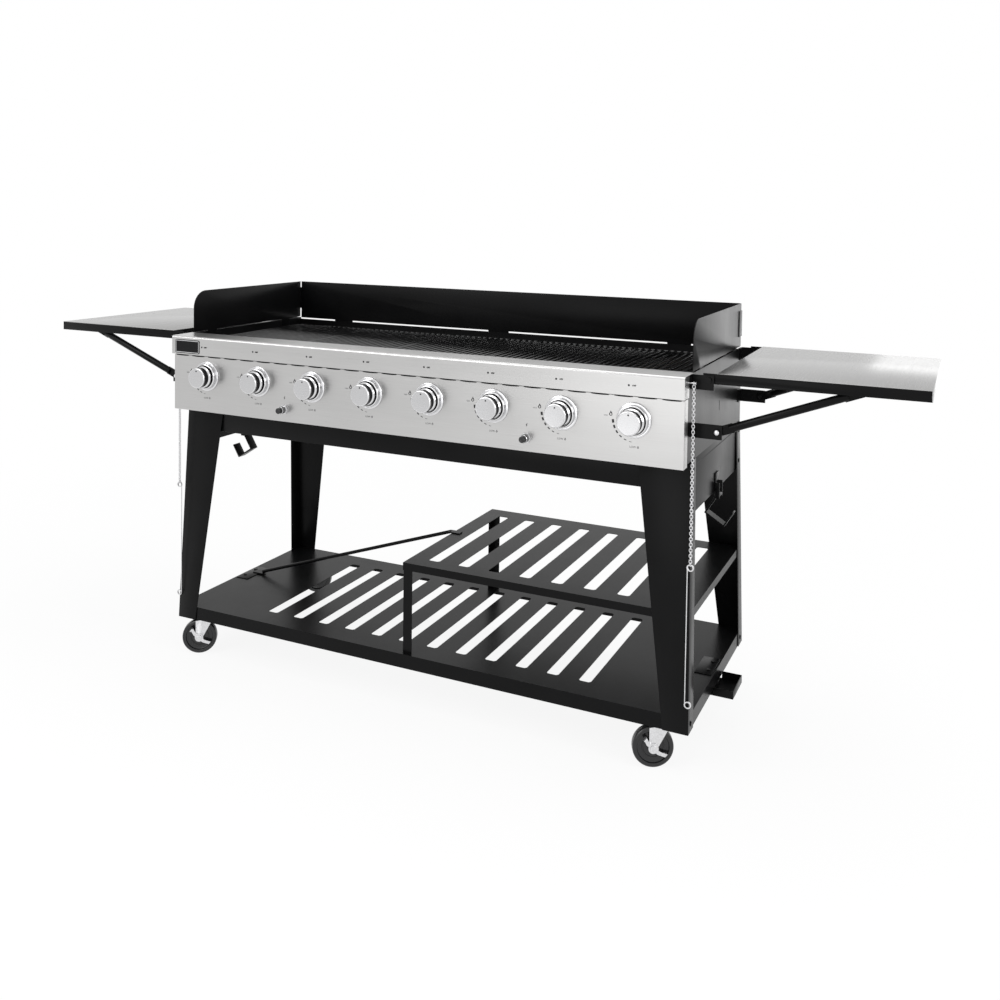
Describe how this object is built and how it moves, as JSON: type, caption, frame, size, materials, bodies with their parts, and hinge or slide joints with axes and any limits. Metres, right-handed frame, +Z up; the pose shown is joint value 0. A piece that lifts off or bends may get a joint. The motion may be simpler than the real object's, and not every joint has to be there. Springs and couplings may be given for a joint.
{
  "type": "event gas grill",
  "caption": "Long free-standing gas grill on a wheeled cart with a wind guard, folding side tables, lift-out grates, knobs with bezels and slotted shelves.",
  "frame": {"origin": "on the floor under the middle of the overall box", "axes": "+X to the right as seen by the person cooking, +Y from the control panel to the back, +Z up"},
  "size_m": [2.52, 0.6704, 1.057],
  "materials": {
    "black_steel": "semi-gloss black powder coat",
    "stainless": "brushed along its length",
    "chrome": "polished plating",
    "black_plastic": "moulded black",
    "grate_iron": "glossy black coat",
    "zinc": "bright zinc plating",
    "valve_brass": "machined",
    "wheel_black": "moulded black"
  },
  "bodies": {
    "frame": {"firebox_walls": "black_steel", "tray_rails": "black_steel", "front_trim": "stainless", "control_panel": "stainless", "control_bezels": "chrome", "burner_tubes": "stainless", "heat_tents": "stainless", "gas_manifold": "valve_brass", "gas_valves": "valve_brass", "wind_guard_back": "black_steel", "wind_guard_sides": "black_steel", "aprons": "black_steel", "cart_legs": "black_steel", "bottom_shelf": "black_steel", "upper_shelf": "black_steel", "shelf_posts": "black_steel", "tank_supports": "black_steel", "exclusion_rod": "black_steel", "table_brackets": "black_steel", "caster_plates": "zinc", "fasteners": "black_steel"},
    "knob_1": {"burner_knob_1": "chrome"},
    "knob_2": {"burner_knob_2": "chrome"},
    "knob_3": {"burner_knob_3": "chrome"},
    "knob_4": {"burner_knob_4": "chrome"},
    "knob_5": {"burner_knob_5": "chrome"},
    "knob_6": {"burner_knob_6": "chrome"},
    "knob_7": {"burner_knob_7": "chrome"},
    "knob_8": {"burner_knob_8": "chrome"},
    "igniter_left": {"igniter_button_left": "black_plastic"},
    "igniter_right": {"igniter_button_right": "black_plastic"},
    "left_table": {"left_table_top": "stainless", "left_table_rims": "black_steel"},
    "left_struts": {"left_table_struts": "black_steel"},
    "left_hook": {"left_tank_hook": "black_steel"},
    "left_chain": {"left_match_chain": "zinc"},
    "left_rod": {"left_match_rod": "zinc"},
    "right_table": {"right_table_top": "stainless", "right_table_rims": "black_steel"},
    "right_struts": {"right_table_struts": "black_steel"},
    "right_hook": {"right_tank_hook": "black_steel"},
    "right_chain": {"right_match_chain": "zinc"},
    "right_rod": {"right_match_rod": "zinc"},
    "grate_1": {"cooking_grate_1": "grate_iron"},
    "grate_2": {"cooking_grate_2": "grate_iron"},
    "grate_3": {"cooking_grate_3": "grate_iron"},
    "grate_4": {"cooking_grate_4": "grate_iron"},
    "grate_5": {"cooking_grate_5": "grate_iron"},
    "tray": {"grease_tray": "stainless"},
    "fork_front_left": {"caster_fork_front_left": "zinc"},
    "wheel_front_left": {"caster_wheel_front_left": "wheel_black"},
    "brake_front_left": {"brake_pedal_front_left": "zinc"},
    "fork_front_right": {"caster_fork_front_right": "zinc"},
    "wheel_front_right": {"caster_wheel_front_right": "wheel_black"},
    "brake_front_right": {"brake_pedal_front_right": "zinc"},
    "fork_rear_left": {"caster_fork_rear_left": "zinc"},
    "wheel_rear_left": {"caster_wheel_rear_left": "wheel_black"},
    "fork_rear_right": {"caster_fork_rear_right": "zinc"},
    "wheel_rear_right": {"caster_wheel_rear_right": "wheel_black"}
  },
  "joints": [
    {"name": "knob_1_turn", "type": "hinge", "parent": "frame", "child": "knob_1", "pos_m": [-0.63, -0.33523, 0.826], "axis": [0, -1, 0], "range_deg": [0, 180]},
    {"name": "knob_2_turn", "type": "hinge", "parent": "frame", "child": "knob_2", "pos_m": [-0.45, -0.33523, 0.826], "axis": [0, -1, 0], "range_deg": [0, 180]},
    {"name": "knob_3_turn", "type": "hinge", "parent": "frame", "child": "knob_3", "pos_m": [-0.27, -0.33523, 0.826], "axis": [0, -1, 0], "range_deg": [0, 180]},
    {"name": "knob_4_turn", "type": "hinge", "parent": "frame", "child": "knob_4", "pos_m": [-0.09, -0.33523, 0.826], "axis": [0, -1, 0], "range_deg": [0, 180]},
    {"name": "knob_5_turn", "type": "hinge", "parent": "frame", "child": "knob_5", "pos_m": [0.09, -0.33523, 0.826], "axis": [0, -1, 0], "range_deg": [0, 180]},
    {"name": "knob_6_turn", "type": "hinge", "parent": "frame", "child": "knob_6", "pos_m": [0.27, -0.33523, 0.826], "axis": [0, -1, 0], "range_deg": [0, 180]},
    {"name": "knob_7_turn", "type": "hinge", "parent": "frame", "child": "knob_7", "pos_m": [0.45, -0.33523, 0.826], "axis": [0, -1, 0], "range_deg": [0, 180]},
    {"name": "knob_8_turn", "type": "hinge", "parent": "frame", "child": "knob_8", "pos_m": [0.63, -0.33523, 0.826], "axis": [0, -1, 0], "range_deg": [0, 180]},
    {"name": "igniter_left_push", "type": "slide", "parent": "frame", "child": "igniter_left", "axis": [0, 1, 0], "range_m": [0, 0.008], "stiffness_N_per_m": 400, "springref_m": -0.003},
    {"name": "igniter_right_push", "type": "slide", "parent": "frame", "child": "igniter_right", "axis": [0, 1, 0], "range_m": [0, 0.008], "stiffness_N_per_m": 400, "springref_m": -0.003},
    {"name": "left_table_fold", "type": "hinge", "parent": "frame", "child": "left_table", "pos_m": [-0.788, 0.03927, 0.924], "axis": [0, -1, 0], "range_deg": [0, 80]},
    {"name": "left_strut_fold", "type": "hinge", "parent": "frame", "child": "left_struts", "pos_m": [-0.806, 0.03927, 0.803], "axis": [0, -1, 0], "range_deg": [0, 101.1]},
    {"name": "left_hook_swing", "type": "hinge", "parent": "frame", "child": "left_hook", "pos_m": [-0.754, 0.03477, 0.59], "axis": [0, -1, 0], "range_deg": [-14, 40]},
    {"name": "left_chain_swing", "type": "hinge", "parent": "frame", "child": "left_chain", "pos_m": [-0.76, -0.25723, 0.918], "axis": [-1, 0, 0], "range_deg": [0, 60]},
    {"name": "left_rod_swing", "type": "hinge", "parent": "left_chain", "child": "left_rod", "pos_m": [-0.76, -0.25723, 0.4922], "axis": [0, 1, 0], "range_deg": [-45, 45]},
    {"name": "right_table_fold", "type": "hinge", "parent": "frame", "child": "right_table", "pos_m": [0.788, 0.03927, 0.924], "axis": [0, 1, 0], "range_deg": [0, 80]},
    {"name": "right_strut_fold", "type": "hinge", "parent": "frame", "child": "right_struts", "pos_m": [0.806, 0.03927, 0.803], "axis": [0, 1, 0], "range_deg": [0, 101.1]},
    {"name": "right_hook_swing", "type": "hinge", "parent": "frame", "child": "right_hook", "pos_m": [0.754, 0.03477, 0.59], "axis": [0, 1, 0], "range_deg": [-14, 40]},
    {"name": "right_chain_swing", "type": "hinge", "parent": "frame", "child": "right_chain", "pos_m": [0.76, -0.25723, 0.918], "axis": [-1, 0, 0], "range_deg": [0, 60]},
    {"name": "right_rod_swing", "type": "hinge", "parent": "right_chain", "child": "right_rod", "pos_m": [0.76, -0.25723, 0.4922], "axis": [0, -1, 0], "range_deg": [-45, 45]},
    {"name": "grate_1_lift", "type": "slide", "parent": "frame", "child": "grate_1", "axis": [0, 0, 1], "range_m": [0, 0.15]},
    {"name": "grate_2_lift", "type": "slide", "parent": "frame", "child": "grate_2", "axis": [0, 0, 1], "range_m": [0, 0.15]},
    {"name": "grate_3_lift", "type": "slide", "parent": "frame", "child": "grate_3", "axis": [0, 0, 1], "range_m": [0, 0.15]},
    {"name": "grate_4_lift", "type": "slide", "parent": "frame", "child": "grate_4", "axis": [0, 0, 1], "range_m": [0, 0.15]},
    {"name": "grate_5_lift", "type": "slide", "parent": "frame", "child": "grate_5", "axis": [0, 0, 1], "range_m": [0, 0.15]},
    {"name": "tray_slide", "type": "slide", "parent": "frame", "child": "tray", "axis": [0, 1, 0], "range_m": [0, 0.5]},
    {"name": "caster_front_left_swivel", "type": "hinge", "parent": "frame", "child": "fork_front_left", "pos_m": [-0.686, -0.23223, 0.12], "axis": [0, 0, 1], "continuous": true},
    {"name": "caster_front_left_roll", "type": "hinge", "parent": "fork_front_left", "child": "wheel_front_left", "pos_m": [-0.69787, -0.23965, 0.049], "axis": [0.5299, -0.848, 0], "continuous": true},
    {"name": "brake_front_left_tip", "type": "hinge", "parent": "fork_front_left", "child": "brake_front_left", "pos_m": [-0.69787, -0.23965, 0.049], "axis": [0.5299, -0.848, 0], "range_deg": [0, 25]},
    {"name": "caster_front_right_swivel", "type": "hinge", "parent": "frame", "child": "fork_front_right", "pos_m": [0.686, -0.23223, 0.12], "axis": [0, 0, 1], "continuous": true},
    {"name": "caster_front_right_roll", "type": "hinge", "parent": "fork_front_right", "child": "wheel_front_right", "pos_m": [0.67331, -0.23814, 0.049], "axis": [0.4226, -0.9063, 0], "continuous": true},
    {"name": "brake_front_right_tip", "type": "hinge", "parent": "fork_front_right", "child": "brake_front_right", "pos_m": [0.67331, -0.23814, 0.049], "axis": [0.4226, -0.9063, 0], "range_deg": [0, 25]},
    {"name": "caster_rear_left_swivel", "type": "hinge", "parent": "frame", "child": "fork_rear_left", "pos_m": [-0.686, 0.30377, 0.12], "axis": [0, 0, 1], "continuous": true},
    {"name": "caster_rear_left_roll", "type": "hinge", "parent": "fork_rear_left", "child": "wheel_rear_left", "pos_m": [-0.67284, 0.30856, 0.049], "axis": [-0.342, 0.9397, 0], "continuous": true},
    {"name": "caster_rear_right_swivel", "type": "hinge", "parent": "frame", "child": "fork_rear_right", "pos_m": [0.686, 0.30377, 0.12], "axis": [0, 0, 1], "continuous": true},
    {"name": "caster_rear_right_roll", "type": "hinge", "parent": "fork_rear_right", "child": "wheel_rear_right", "pos_m": [0.67284, 0.30856, 0.049], "axis": [-0.342, -0.9397, 0], "continuous": true}
  ],
  "couplings": [
    {"joint": "left_strut_fold", "follows": "left_table_fold", "ratio": 1.2575},
    {"joint": "right_strut_fold", "follows": "right_table_fold", "ratio": 1.2575}
  ]
}
